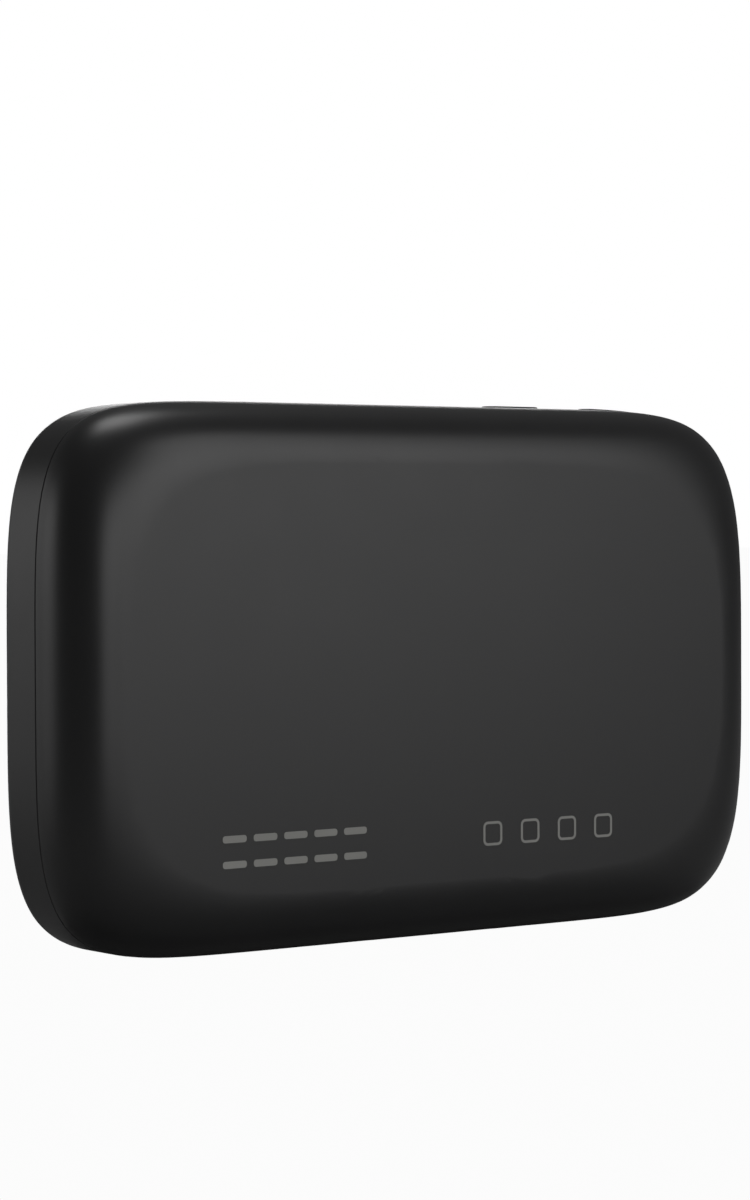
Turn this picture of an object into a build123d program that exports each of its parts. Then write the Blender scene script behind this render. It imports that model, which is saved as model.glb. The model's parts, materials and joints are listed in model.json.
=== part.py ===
"""A pocket-sized mobile hotspot: a battery-powered radio box with a small display.

It stands on its long bottom edge. X runs along the width, with the display seen from -Y,
Y runs through the thickness from the display (-Y) to the battery cover (+Y), and Z is up.
The origin is the middle of the bottom edge. All lengths are millimetres.
"""

from build123d import *
import math
import os

# ---------------------------------------------------------------- driving dimensions
WIDTH = 107.0
HEIGHT = 66.0
THICKNESS = 15.8
MID_Z = HEIGHT / 2
FRONT_Y = -THICKNESS / 2
BACK_Y = THICKNESS / 2

# The outline is |x/a|^END_POWER + |z/b|^SIDE_POWER = 1, straight along the middle of the long sides.
END_POWER = 9.5
SIDE_POWER = 4.4
END_SOFTEN = 3.5  # how much the powers fall from the seam to the flat of the back
SIDE_SOFTEN = 1.6
OUTLINE_STEPS = 12
OUTLINE_SPREAD = 2.2  # gathers the outline's points towards the flat sides

# Seam and walls
SEAM_Y = -0.1
SEAM_GAP = 0.15
SEAM_CHAMFER = 0.12
SHELL_WALL = 1.4
FRONT_WALL = 1.8
FRONT_EDGE_RADIUS = 2.0
COVER_WALL = 1.2
COVER_EDGE_WIDTH = 7.5  # how far in from the outline the back becomes flat
EDGE_POWER = 2.2  # 2 is an elliptic edge; more is fuller
PROFILE_DEGREES = (0, 14, 28, 42, 55, 67, 78, 90)

# Rear frame, which the cover closes over
FRAME_INSET = 1.45
FRAME_WALL = 1.2
FRAME_SKIRT = 1.1  # how far it reaches into the front shell
FRAME_TOP_Y = 6.4
FRAME_ROOF = 1.0
FRAME_EDGE_WIDTH = 6.8
BAY_FLOOR_Y = 1.0
BAY_FLOOR = 0.7
BAY_WALL = 1.0

FINGER_WIDTH = 14.0  # the notch that a fingertip lifts the battery by
FINGER_DEPTH = 2.0
FINGER_Y = 2.6

# Battery
BATTERY_X = (-39.0, 21.0)
BATTERY_Z = (10.0, 56.0)
BATTERY_Y = (1.12, 6.1)
BATTERY_CAP = 3.5
BATTERY_GAP = 0.3
BAY_RADIUS = 1.5

# Board and display
BOARD_Y = (-2.1, -1.3)  # front face, back face
BOARD_INSET = 2.4
BOARD_Z = (3.6, 61.4)
SHIELD_HEIGHT = 1.7
SHEET = 0.2
WINDOW = (62.0, 42.0, 7.0)  # width, height, corner radius
WINDOW_THICK = 1.0
ADHESIVE = 0.15
LCD_OPENING = (28.0, 29.0)
LCD_SIZE = (32.4, 38.0, 2.0)
LCD_GLASS = (29.6, 33.4, 1.0)
LCD_MID_Z = 31.0
LCD_GLASS_MID_Z = 32.0
LCD_GAP = 0.15
LCD_RIB = (1.0, 1.4)  # the surround's wall and height
LCD_ACTIVE = (26.2, 27.2)
FLEX = (7.0, 0.15)  # width, thickness
FLEX_REACH = 5.0  # how far below the display the cable is plugged in
CONNECTOR_HEIGHT = 1.0

# Screws: positions of the six bosses as (x, height above or below the middle)
SCREWS = [(x, s * dz) for x, dz in ((-43.5, 12.0), (43.5, 12.0), (24.8, 20.0)) for s in (1, -1)]
BOSS_RADIUS = 2.1
BOSS_TOP_Y = 0.25
SCREW_RADIUS = 0.8
SCREW_LENGTH = 6.0
SCREW_HEAD = (1.4, 0.9)  # radius, height
SCREW_SEAT_Y = (0.3, 1.3)
WELL_RADIUS = 1.75
RUNNING_GAP = 0.03

# Side keys on the top edge
KEY_LENGTH = 8.6
KEY_WIDTH = 2.6
KEY_Y = -3.4
KEY_X = {"power": -19.6, "pairing": -35.7}
KEY_PROUD = 0.3
KEY_GAP = 0.12
KEY_FLANGE = 0.7  # how far the flange reaches past the key all round
KEY_FLANGE_Z = 63.2
KEY_TRAVEL = 0.35
SWITCH_SIZE = (6.0, 1.7, 2.6)
SWITCH_TOP_Z = 61.3
PLUNGER_SIZE = (2.6, 0.9, 1.7)
PLUNGER_TOP_Z = 62.3

# Charging socket in the bottom edge
USB_SIZE = (7.5, 2.5, 5.2)
USB_Y = -3.37
USB_MOUTH_Z = 0.45
USB_OPENING = (8.3, 3.1, 1.0)
USB_SHEET = 0.3

# SIM card and socket on the back of the board
SIM_X = 33.6
SIM_CARD = (12.0, 0.76, 15.0)
SIM_CARD_Z = 31.2  # lower end of the seated card
SIM_CARD_Y = -0.94
SIM_SOCKET = (14.0, 17.0)
SIM_SOCKET_Z = 30.6
SIM_COVER_TOP_Y = 0.08
SIM_CONTACT_SIDE = 3.8  # from the middle to each column of contacts
SIM_CONTACT_PITCH = 2.54
SIM_BAY_X = (27.2, 40.2)
SIM_BAY_Z = (14.0, 47.6)

# Battery contacts
CONTACT_BLOCK_X = (21.9, 25.9)
CONTACT_BLOCK_Z = (27.0, 39.0)
CONTACT_BLOCK_TOP_Y = 4.2
CONTACT_PITCH = 2.6
CONTACT_COUNT = 4
TERMINAL_Y = (2.0, 4.2)
TERMINAL_WIDTH = 1.7

# Reset key, reached with a pin through the frame's roof
RESET = (33.6, 53.0)
RESET_HOLE_RADIUS = 0.9
RESET_TRAVEL = 0.25
RESET_BODY = (3.0, 1.0)  # side, height
RESET_WELL_DEPTH = 0.7

# Cover ribs and their notches
RIB_LENGTH = 4.0
RIB_Y = (0.3, 2.3)
RIB_INSET = 1.8
NOTCH_INSET = 2.05
RIB_ROOT = 0.3  # how deep the ribs and notches start inside their wall
RIBS_ALONG_X = (-30.0, 0.0, 30.0)
RIBS_ALONG_Z = (-10.0, 10.0)

# Antennas: each film meets its spring through a post in the frame
FEED_TOP_Y = 0.93
FEED_POST_Y = 0.95
FILM = 0.1


# ---------------------------------------------------------------- building blocks
def block(x, y, z):
    """A box from its low and high ends on each axis."""
    size = [high - low for low, high in (x, y, z)]
    middle = [(high + low) / 2 for low, high in (x, y, z)]
    return Pos(*middle) * Box(*size)


def around(middle, size):
    """The low and high ends of a length centred on middle."""
    return (middle - size / 2, middle + size / 2)


def rounded_plate(x, y, z, radius):
    """A box whose four edges along Y are rounded."""
    solid = block(x, y, z)
    return fillet(solid.edges().filter_by(Axis.Y), radius)


def rod(x, z, radius, y):
    """A cylinder along Y."""
    return Pos(x, (y[0] + y[1]) / 2, z) * Rot(90, 0, 0) * Cylinder(radius, y[1] - y[0])


def outline_wire(inset, y, soften=0.0):
    """The case outline, moved in by inset, in the plane at y. soften 1 is the roundest corner."""
    half_width = WIDTH / 2 - inset
    half_height = HEIGHT / 2 - inset
    end_power = END_POWER - END_SOFTEN * soften
    side_power = SIDE_POWER - SIDE_SOFTEN * soften
    upper = []
    for step in range(OUTLINE_STEPS - 1, 0, -1):
        near = (step / OUTLINE_STEPS) ** OUTLINE_SPREAD
        far = (1 - step / OUTLINE_STEPS) ** OUTLINE_SPREAD
        turn = math.pi / 2 * near / (near + far)
        x = half_width * math.cos(turn) ** (2 / end_power)
        z = half_height * math.sin(turn) ** (2 / side_power)
        upper.append((x, z))
    upper[0] = (upper[0][0], half_height)
    end = upper + [(half_width, 0.0)] + [(x, -z) for x, z in reversed(upper)]
    right = [Vector(x, y, MID_Z + z) for x, z in end]
    left = [Vector(-x, y, MID_Z + z) for x, z in reversed(end)]
    outward = Vector(1, 0, 0)
    edges = [
        Edge.make_spline(right, tangents=[outward, -outward]),
        Edge.make_line(right[-1], left[0]),
        Edge.make_spline(left, tangents=[-outward, outward]),
        Edge.make_line(left[-1], right[0]),
    ]
    return Wire(edges)


def prism(inset, y):
    """The case outline, moved in by inset, carried from y[0] to y[1]."""
    return extrude(Face(outline_wire(inset, y[0])), amount=y[1] - y[0], dir=(0, 1, 0))


def dome(inset, y, edge_width):
    """A block on the case outline whose +Y edge rolls over into a flat, edge_width further in."""
    wires = []
    for degrees in PROFILE_DEGREES:
        turn = math.radians(degrees)
        rise = math.sin(turn) ** (2 / EDGE_POWER)
        roll = 1 - max(0.0, math.cos(turn)) ** (2 / EDGE_POWER)
        wires.append(outline_wire(inset + edge_width * roll, y[0] + (y[1] - y[0]) * rise, roll))
    return Solid.make_loft(wires)


def side_places():
    """Where the cover's ribs are: boxes across the case wall, as (x range, z range)."""
    places = [(around(x, RIB_LENGTH), (0, HEIGHT)) for x in RIBS_ALONG_X]
    places += [((-WIDTH, WIDTH), around(MID_Z + z, RIB_LENGTH)) for z in RIBS_ALONG_Z]
    return places


def rib_ring(insets, y, margin):
    """What lies between two insets of the outline, kept only at the ribs' places."""
    ring = prism(insets[0], y) - prism(insets[1], y)
    slabs = [
        block((x[0] - margin, x[1] + margin), y, (z[0] - margin, z[1] + margin))
        for x, z in side_places()
    ]
    return [ring & slab for slab in slabs]


# ---------------------------------------------------------------- case
def key_prism(x, grow, z):
    """A round-ended bar along Z, as long as a side key plus grow on each side."""
    section = SlotOverall(KEY_LENGTH + 2 * grow, KEY_WIDTH + 2 * grow)
    return extrude(Pos(x, KEY_Y, z[0]) * section, amount=z[1] - z[0])


def front_shell():
    """The display-side half of the case, with its bosses, display surround and openings."""
    shell = prism(0, (FRONT_Y, SEAM_Y))
    shell = fillet(shell.faces().sort_by(Axis.Y)[0].edges(), FRONT_EDGE_RADIUS)
    shell = chamfer(shell.faces().sort_by(Axis.Y)[-1].edges(), SEAM_CHAMFER)
    inner_y = FRONT_Y + FRONT_WALL
    shell -= prism(SHELL_WALL, (inner_y, SEAM_Y + 1))
    for x, dz in SCREWS:
        shell += rod(x, MID_Z + dz, BOSS_RADIUS, (inner_y - 0.2, BOSS_TOP_Y))
    bottom = SCREW_SEAT_Y[1] - SCREW_LENGTH - 0.3
    for x, dz in SCREWS:
        shell -= rod(x, MID_Z + dz, SCREW_RADIUS + RUNNING_GAP, (bottom, BOSS_TOP_Y + 1))
    lcd_x = around(0, LCD_SIZE[0] + 2 * LCD_GAP)
    lcd_z = around(LCD_MID_Z, LCD_SIZE[1] + 2 * LCD_GAP)
    wall, high = LCD_RIB
    surround = block(
        (lcd_x[0] - wall, lcd_x[1] + wall),
        (inner_y - 0.2, inner_y + high),
        (lcd_z[0] - wall, lcd_z[1] + wall),
    )
    surround -= block(lcd_x, (inner_y - 1, inner_y + 2), lcd_z)
    flex_gap = block((-6, 6), (inner_y, inner_y + 2), (lcd_z[0] - 2, lcd_z[0] + 1))
    shell += surround - flex_gap
    recess_floor = FRONT_Y + WINDOW_THICK + ADHESIVE
    shell -= rounded_plate(
        around(0, WINDOW[0] + 0.2),
        (FRONT_Y - 1, recess_floor),
        around(MID_Z, WINDOW[1] + 0.2),
        WINDOW[2] + 0.1,
    )
    shell -= rounded_plate(
        around(0, LCD_OPENING[0]), (FRONT_Y, inner_y + 0.5), around(MID_Z, LCD_OPENING[1]), 1.5
    )
    for x in KEY_X.values():
        shell -= key_prism(x, KEY_GAP, (HEIGHT - 4, HEIGHT + 2))
    mouth = block(around(0, USB_OPENING[0]), around(USB_Y, USB_OPENING[1]), (-1, 3))
    shell -= fillet(mouth.edges().filter_by(Axis.Z), USB_OPENING[2])
    return shell


def back_cover():
    """The battery cover: the whole back and half of the sides, with ribs that guide it on."""
    base_y = SEAM_Y + SEAM_GAP
    cover = dome(0, (base_y, BACK_Y), COVER_EDGE_WIDTH)
    cover -= dome(COVER_WALL, (base_y - 0.001, BACK_Y - COVER_WALL), COVER_EDGE_WIDTH - 0.2)
    for rib in rib_ring((COVER_WALL - RIB_ROOT, RIB_INSET), RIB_Y, 0):
        cover += rib
    nail_notch = block((-WIDTH, 0.9 - WIDTH / 2), (base_y - 1, base_y + 0.75), around(MID_Z, 10))
    return cover - nail_notch


def frame_block():
    """The rear frame's outside as one solid."""
    return dome(FRAME_INSET, (SEAM_Y, FRAME_TOP_Y), FRAME_EDGE_WIDTH)


def rear_frame():
    """The tray between board and cover: battery bay, SIM bay, screw wells and antenna feed posts."""
    outside = frame_block()
    skirt_y = SEAM_Y - FRAME_SKIRT
    frame = outside + prism(FRAME_INSET + 0.1, (skirt_y, SEAM_Y + 0.01))
    hollow = dome(
        FRAME_INSET + FRAME_WALL, (SEAM_Y, FRAME_TOP_Y - FRAME_ROOF), FRAME_EDGE_WIDTH - 0.2
    )
    hollow += prism(FRAME_INSET + FRAME_WALL, (skirt_y - 1, SEAM_Y + 0.01))
    frame -= hollow
    bay_x = (BATTERY_X[0] - BATTERY_GAP, BATTERY_X[1] + BATTERY_GAP)
    bay_z = (BATTERY_Z[0] - BATTERY_GAP, BATTERY_Z[1] + BATTERY_GAP)
    tub = block(
        (bay_x[0] - BAY_WALL, bay_x[1] + BAY_WALL),
        (BAY_FLOOR_Y - BAY_FLOOR, FRAME_TOP_Y),
        (bay_z[0] - BAY_WALL, bay_z[1] + BAY_WALL),
    )
    sim_tub = block(
        (SIM_BAY_X[0] - BAY_WALL, SIM_BAY_X[1] + BAY_WALL),
        (BAY_FLOOR_Y - BAY_FLOOR, FRAME_TOP_Y),
        (SIM_BAY_Z[0] - BAY_WALL, SIM_BAY_Z[1] + BAY_WALL),
    )
    seats = [
        rod(x, MID_Z + dz, WELL_RADIUS + BAY_WALL, (SCREW_SEAT_Y[0], FRAME_TOP_Y))
        for x, dz in SCREWS
    ]
    posts = [
        block(around(x, 2.4), (FEED_POST_Y, FRAME_TOP_Y), around(z, 3.0)) for x, z in antenna_feeds()
    ]
    finger_pad = block(
        (bay_x[0] - FINGER_DEPTH - BAY_WALL, bay_x[0]),
        (FINGER_Y - BAY_WALL, FRAME_TOP_Y),
        around(MID_Z, FINGER_WIDTH + 2 * BAY_WALL),
    )
    for solid in (tub, sim_tub, finger_pad, *seats, *posts):
        frame += solid & outside
    frame -= rounded_plate(bay_x, (BAY_FLOOR_Y, BACK_Y), bay_z, BAY_RADIUS)
    frame -= rounded_plate(SIM_BAY_X, (-1, BACK_Y), SIM_BAY_Z, 1.5)
    finger = block(
        (bay_x[0] - FINGER_DEPTH, bay_x[0] + FINGER_DEPTH),
        (FINGER_Y, BACK_Y),
        around(MID_Z, FINGER_WIDTH),
    )
    frame -= fillet(finger.edges().filter_by(Axis.Y), FINGER_DEPTH - 0.2)
    for x, dz in SCREWS:
        frame -= rod(x, MID_Z + dz, WELL_RADIUS, (SCREW_SEAT_Y[1], BACK_Y))
        frame -= rod(x, MID_Z + dz, SCREW_RADIUS + 0.2, (-1, SCREW_SEAT_Y[1] + 1))
    frame -= block(
        (bay_x[1] - 0.1, CONTACT_BLOCK_X[1] + 0.3),
        (-1, CONTACT_BLOCK_TOP_Y + 0.3),
        (CONTACT_BLOCK_Z[0] - 0.3, CONTACT_BLOCK_Z[1] + 0.3),
    )
    frame -= rod(RESET[0], RESET[1], RESET_HOLE_RADIUS, (0, BACK_Y))
    for notch in rib_ring((FRAME_INSET - RIB_ROOT, NOTCH_INSET), (SEAM_Y, 3.5), 0.3):
        frame -= notch
    return frame


def case_screws():
    """Six screws that hold the frame to the front shell, heads towards +Y, each with a cross recess."""
    screws = []
    for x, dz in SCREWS:
        z = MID_Z + dz
        seat = SCREW_SEAT_Y[1]
        head = rod(x, z, SCREW_HEAD[0], (seat, seat + SCREW_HEAD[1]))
        head = fillet(head.edges().sort_by(Axis.Y)[-1], 0.3)
        screw = head + rod(x, z, SCREW_RADIUS, (seat - SCREW_LENGTH, seat + 0.1))
        for size in ((1.7, 0.35), (0.35, 1.7)):
            slot_y = (seat + SCREW_HEAD[1] - 0.5, seat + SCREW_HEAD[1] + 1)
            screw -= block(around(x, size[0]), slot_y, around(z, size[1]))
        screws.append(screw)
    return screws


# ---------------------------------------------------------------- display
def display_window():
    """The clear glossy panel set in the front, with a rounded rim."""
    y = (FRONT_Y, FRONT_Y + WINDOW_THICK)
    window = rounded_plate(around(0, WINDOW[0]), y, around(MID_Z, WINDOW[1]), WINDOW[2])
    return fillet(window.faces().sort_by(Axis.Y)[0].edges(), 0.25)


def window_adhesive():
    """The black adhesive film behind the window, open over the display."""
    y = (FRONT_Y + WINDOW_THICK, FRONT_Y + WINDOW_THICK + ADHESIVE)
    film = rounded_plate(
        around(0, WINDOW[0] - 0.6), y, around(MID_Z, WINDOW[1] - 0.6), WINDOW[2] - 0.3
    )
    active = block(around(0, LCD_ACTIVE[0]), (FRONT_Y, 0), around(MID_Z, LCD_ACTIVE[1]))
    return film - active


def lcd_glass():
    """The display's glass stack."""
    front = FRONT_Y + FRONT_WALL
    return block(
        around(0, LCD_GLASS[0]), (front, front + LCD_GLASS[2]), around(LCD_GLASS_MID_Z, LCD_GLASS[1])
    )


def lcd_housing():
    """The display's backlight tray, which holds the glass."""
    front = FRONT_Y + FRONT_WALL
    tray = rounded_plate(
        around(0, LCD_SIZE[0]), (front, front + LCD_SIZE[2]), around(LCD_MID_Z, LCD_SIZE[1]), 0.8
    )
    seat = block(
        around(0, LCD_GLASS[0] + 0.1),
        (front - 1, front + LCD_GLASS[2] + 0.02),
        around(LCD_GLASS_MID_Z, LCD_GLASS[1] + 0.1),
    )
    return tray - seat


def lcd_flex():
    """The display's flexible cable, from the back of the display down to its connector."""
    wide, thick = FLEX
    start_y = FRONT_Y + FRONT_WALL + LCD_SIZE[2]
    end_y = BOARD_Y[0] - CONNECTOR_HEIGHT - thick
    low_z = LCD_MID_Z - LCD_SIZE[1] / 2
    path = FilletPolyline(
        (0, start_y + thick / 2, low_z + 3.0),
        (0, start_y + thick / 2, low_z - 1.6),
        (0, end_y + thick / 2, low_z - 2.4),
        (0, end_y + thick / 2, low_z - FLEX_REACH),
        radius=0.5,
    )
    section = Plane(path @ 0, x_dir=(1, 0, 0), z_dir=path % 0) * Rectangle(wide, thick)
    return sweep(section, path)


def lcd_connector():
    """The board connector that the display's cable plugs into."""
    z = LCD_MID_Z - LCD_SIZE[1] / 2 - FLEX_REACH
    y = (BOARD_Y[0] - CONNECTOR_HEIGHT, BOARD_Y[0])
    body = block(around(0, FLEX[0] + 1.4), y, (z - 0.2, z + 2.2))
    return chamfer(body.edges().filter_by(Axis.Y), 0.3)


def lcd_pad():
    """The foam pad that holds the display forward, off the shield."""
    back = FRONT_Y + FRONT_WALL + LCD_SIZE[2]
    return block((1, 14), (back + 0.01, BOARD_Y[0] - SHIELD_HEIGHT - 0.01), (26, 44))


# ---------------------------------------------------------------- board
SHIELDS = {
    "baseband_shield": ((-37.0, -6.0), (23.0, 51.0)),
    "radio_shield": ((-3.0, 19.5), (23.0, 47.0)),
    "wifi_shield": ((26.0, 40.0), (26.0, 41.0)),
}
CHIPS = {
    "baseband_chip": ((-31.0, 42.0), (11.0, 11.0), 1.0),
    "memory_chip": ((-15.0, 42.0), (10.0, 12.0), 0.9),
    "power_chip": ((-29.0, 28.5), (7.0, 6.0), 0.8),
    "radio_chip": ((5.0, 40.0), (8.0, 8.0), 0.9),
    "amplifier_chip": ((13.0, 29.0), (7.0, 5.0), 0.9),
    "wifi_chip": ((33.0, 34.0), (7.0, 7.0), 0.8),
}


def main_board():
    """The circuit board, notched round the bosses and drilled for the socket's legs."""
    board = prism(BOARD_INSET, BOARD_Y) & block((-WIDTH, WIDTH), BOARD_Y, BOARD_Z)
    for x, dz in SCREWS:
        board -= rod(x, MID_Z + dz, BOSS_RADIUS + 0.4, (-3, 0))
        if abs(x) > 40:
            outward = (x, x + 9) if x > 0 else (x - 9, x)
            board -= block(outward, (-3, 0), around(MID_Z + dz, 2 * BOSS_RADIUS + 0.8))
    return board


def shield(name):
    """A pressed steel can over one part of the board, with its corners rounded and vent holes."""
    x, z = SHIELDS[name]
    y = (BOARD_Y[0] - SHIELD_HEIGHT, BOARD_Y[0])
    can = rounded_plate(x, y, z, 0.8)
    can -= rounded_plate(
        (x[0] + SHEET, x[1] - SHEET), (y[0] + SHEET, 1), (z[0] + SHEET, z[1] - SHEET), 0.6
    )
    holes = 4
    pitch = 1.8
    middle = ((x[0] + x[1]) / 2, z[0] + 2.0)
    for k in range(holes):
        can -= rod(middle[0] + (k - (holes - 1) / 2) * pitch, middle[1], 0.45, (y[0] - 1, y[0] + 1))
    return can


def chip(name):
    """A chip on the front of the board, under its shield."""
    (x, z), (wide, tall), high = CHIPS[name]
    y = (BOARD_Y[0] - high, BOARD_Y[0])
    body = block(around(x, wide), y, around(z, tall))
    return chamfer(body.faces().sort_by(Axis.Y)[0].edges(), 0.1)


def board_passives():
    """Rows of small capacitors and inductors on the front of the board."""
    rows = [
        ((-38.0, 16.0), (2.2, 0.0), 9),
        ((-36.0, 54.5), (2.2, 0.0), 6),
        ((8.0, 12.0), (2.2, 0.0), 6),
        ((22.0, 24.0), (0.0, 2.2), 9),
        ((-41.0, 26.0), (0.0, 2.2), 9),
        ((42.0, 27.0), (0.0, 2.2), 6),
    ]
    small = []
    for (x, z), (dx, dz), count in rows:
        for k in range(count):
            size = (1.0, 0.5) if dz else (0.5, 1.0)
            high = 0.5 if k % 3 else 0.8
            small.append(
                block(
                    around(x + k * dx, size[0]),
                    (BOARD_Y[0] - high, BOARD_Y[0]),
                    around(z + k * dz, size[1]),
                )
            )
    return small


# ---------------------------------------------------------------- keys
def key_cap(name):
    """A side key: a round-ended cap through the top wall, on a flange that keeps it in."""
    x = KEY_X[name]
    cap = key_prism(x, 0, (KEY_FLANGE_Z, HEIGHT + 2))
    cap &= prism(-KEY_PROUD, (FRONT_Y, 0))
    rim = cap.faces().sort_by(Axis.Z)[-1].edges()
    cap = fillet(rim, 0.25)
    flange = key_prism(x, KEY_FLANGE, (KEY_FLANGE_Z, HEIGHT))
    flange &= prism(SHELL_WALL + 0.15, (FRONT_Y, 0))
    nub_z = (PLUNGER_TOP_Z + 0.02, KEY_FLANGE_Z + 0.5)
    nub = block(around(x, 3.0), around(plunger_y(), 1.2), nub_z)
    return cap + flange + nub


def plunger_y():
    """The height of the switches' plungers above the board, as a Y."""
    return BOARD_Y[0] - SWITCH_SIZE[1] / 2


def key_switch(name):
    """A side-push switch at the board's top edge."""
    x = KEY_X[name]
    z = (SWITCH_TOP_Z - SWITCH_SIZE[2], SWITCH_TOP_Z)
    body = block(around(x, SWITCH_SIZE[0]), (BOARD_Y[0] - SWITCH_SIZE[1], BOARD_Y[0]), z)
    body = chamfer(body.edges().filter_by(Axis.Z), 0.2)
    slot = block(
        around(x, PLUNGER_SIZE[0] + 0.2),
        around(plunger_y(), PLUNGER_SIZE[1] + 0.1),
        (PLUNGER_TOP_Z - PLUNGER_SIZE[2] - KEY_TRAVEL - 0.15, HEIGHT),
    )
    return body - slot


def key_plunger(name):
    """The switch's own plunger, which the key pushes."""
    z = (PLUNGER_TOP_Z - PLUNGER_SIZE[2], PLUNGER_TOP_Z)
    return block(around(KEY_X[name], PLUNGER_SIZE[0]), around(plunger_y(), PLUNGER_SIZE[1]), z)


def reset_switch():
    """A small push switch on the back of the board, under the frame's pin hole."""
    x, z = RESET
    side, high = RESET_BODY
    top = BOARD_Y[1] + high
    body = block(around(x, side), (BOARD_Y[1], top), around(z, side))
    body = chamfer(body.edges().filter_by(Axis.Y), 0.2)
    return body - rod(x, z, 0.8, (top - RESET_WELL_DEPTH, 1))


def reset_plunger():
    """The reset switch's plunger."""
    x, z = RESET
    top = BOARD_Y[1] + RESET_BODY[1]
    return rod(x, z, 0.7, (top - RESET_WELL_DEPTH + RESET_TRAVEL + 0.05, top + 0.4))


# ---------------------------------------------------------------- charging socket
def usb_profile(grow, z):
    """The socket's outline, wide at the front and bevelled towards the board, carried along Z."""
    half = USB_SIZE[0] / 2 - grow
    low = USB_Y - USB_SIZE[1] / 2 + grow
    high = USB_Y + USB_SIZE[1] / 2 - grow
    bevel = 0.9
    corners = [
        (-half, low),
        (half, low),
        (half, high - bevel),
        (half - bevel, high),
        (bevel - half, high),
        (-half, high - bevel),
    ]
    face = Plane.XY.offset(z[0]) * make_face(Polyline(*corners, close=True))
    return extrude(face, amount=z[1] - z[0], dir=(0, 0, 1))


def usb_shell():
    """The charging socket's folded steel shell, open downwards."""
    z = (USB_MOUTH_Z, USB_MOUTH_Z + USB_SIZE[2])
    return usb_profile(0, z) - usb_profile(USB_SHEET, (z[0] - 1, z[1] - USB_SHEET))


def usb_tongue():
    """The socket's contact tongue, on the plastic block at the back of the shell."""
    top = USB_MOUTH_Z + USB_SIZE[2] - USB_SHEET
    base = usb_profile(USB_SHEET + 0.02, (top - 1.2, top - 0.01))
    tongue = block(around(0, 3.6), around(USB_Y + 0.25, 0.6), (USB_MOUTH_Z + 0.8, top - 1.0))
    return base + tongue


# ---------------------------------------------------------------- SIM
def sim_socket_base():
    """The SIM socket's plastic plate."""
    z = (SIM_SOCKET_Z, SIM_SOCKET_Z + SIM_SOCKET[1])
    plate = block(around(SIM_X, SIM_SOCKET[0]), (BOARD_Y[1], BOARD_Y[1] + 0.28), z)
    for x, mid_z in sim_contact_places():
        plate -= block(around(x, 1.3), (BOARD_Y[1], 0), around(mid_z, 2.6))
    return plate


def sim_contact_places():
    """Where the socket's six contacts are."""
    return [
        (SIM_X + side * SIM_CONTACT_SIDE, SIM_CARD_Z + 4.9 + row * SIM_CONTACT_PITCH)
        for side in (-1, 1)
        for row in range(3)
    ]


def sim_contacts():
    """Six gold springs in the socket's plate."""
    springs = []
    for x, z in sim_contact_places():
        leaf = block(around(x, 0.7), (BOARD_Y[1], BOARD_Y[1] + 0.12), around(z, 2.2))
        tip = block(around(x, 0.7), (BOARD_Y[1], SIM_CARD_Y - 0.06), around(z, 0.7))
        springs.append(leaf + tip)
    return springs


def sim_socket_cover():
    """The socket's steel cover, folded down at both sides and open at the lower end."""
    x = around(SIM_X, SIM_SOCKET[0])
    z = (SIM_SOCKET_Z + 3.5, SIM_SOCKET_Z + SIM_SOCKET[1])
    cover = block(x, (BOARD_Y[1] + 0.3, SIM_COVER_TOP_Y), z)
    cover -= block(
        (x[0] + SHEET, x[1] - SHEET), (BOARD_Y[1], SIM_COVER_TOP_Y - SHEET), (z[0] - 1, z[1] - SHEET)
    )
    for side in (-1, 1):
        slot_x = around(SIM_X + side * SIM_CONTACT_SIDE, 1.6)
        cover -= block(slot_x, (-1, 1), (z[0] + 3.0, z[0] + 9.5))
    mouth = rod(SIM_X, z[0], 3.0, (SIM_COVER_TOP_Y - SHEET - 0.1, 1))
    return cover - mouth


def sim_card():
    """The SIM card, with one corner cut off."""
    x = around(SIM_X, SIM_CARD[0])
    z = (SIM_CARD_Z, SIM_CARD_Z + SIM_CARD[2])
    y = (SIM_CARD_Y, SIM_CARD_Y + SIM_CARD[1])
    card = rounded_plate(x, y, z, 1.0)
    cut = 2.4
    beyond = (x[1] + 1, z[1] + 1)
    outline = Polyline(
        beyond,
        (x[1] - cut, beyond[1]),
        (x[1] - cut, z[1]),
        (x[1], z[1] - cut),
        (beyond[0], z[1] - cut),
        close=True,
    )
    corner = Plane.XZ.offset(1) * make_face(outline)
    return card - extrude(corner, amount=4, both=True)


def sim_card_contacts():
    """The card's gold contact plate, towards the board."""
    z = around(SIM_CARD_Z + 7.4, 8.6)
    return rounded_plate(around(SIM_X, 9.8), (SIM_CARD_Y - 0.04, SIM_CARD_Y), z, 1.0)


# ---------------------------------------------------------------- battery
def battery_pack():
    """The battery's wrapped cell."""
    x = (BATTERY_X[0], BATTERY_X[1] - BATTERY_CAP)
    solid = block(x, BATTERY_Y, BATTERY_Z)
    outer = [e for e in solid.edges().filter_by(Axis.Y) if e.center().X < 0]
    solid = fillet(outer, 2.0)
    rims = [f.edges() for f in (solid.faces().sort_by(Axis.Y)[0], solid.faces().sort_by(Axis.Y)[-1])]
    keep = [e for rim in rims for e in rim if e.center().X < x[1] - 0.01]
    return fillet(keep, 0.5)


def battery_end_cap():
    """The moulded end of the battery, which holds its protection board and terminals."""
    solid = block((BATTERY_X[1] - BATTERY_CAP, BATTERY_X[1]), BATTERY_Y, BATTERY_Z)
    outer = [e for e in solid.edges().filter_by(Axis.Y) if e.center().X > BATTERY_X[1] - 1]
    solid = fillet(outer, 1.2)
    for z in contact_places():
        solid -= block(
            (BATTERY_X[1] - 0.5, BATTERY_X[1] + 1), TERMINAL_Y, around(z, TERMINAL_WIDTH)
        )
    return solid


def contact_places():
    """The heights of the battery's contacts."""
    return [MID_Z + (k - (CONTACT_COUNT - 1) / 2) * CONTACT_PITCH for k in range(CONTACT_COUNT)]


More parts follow.
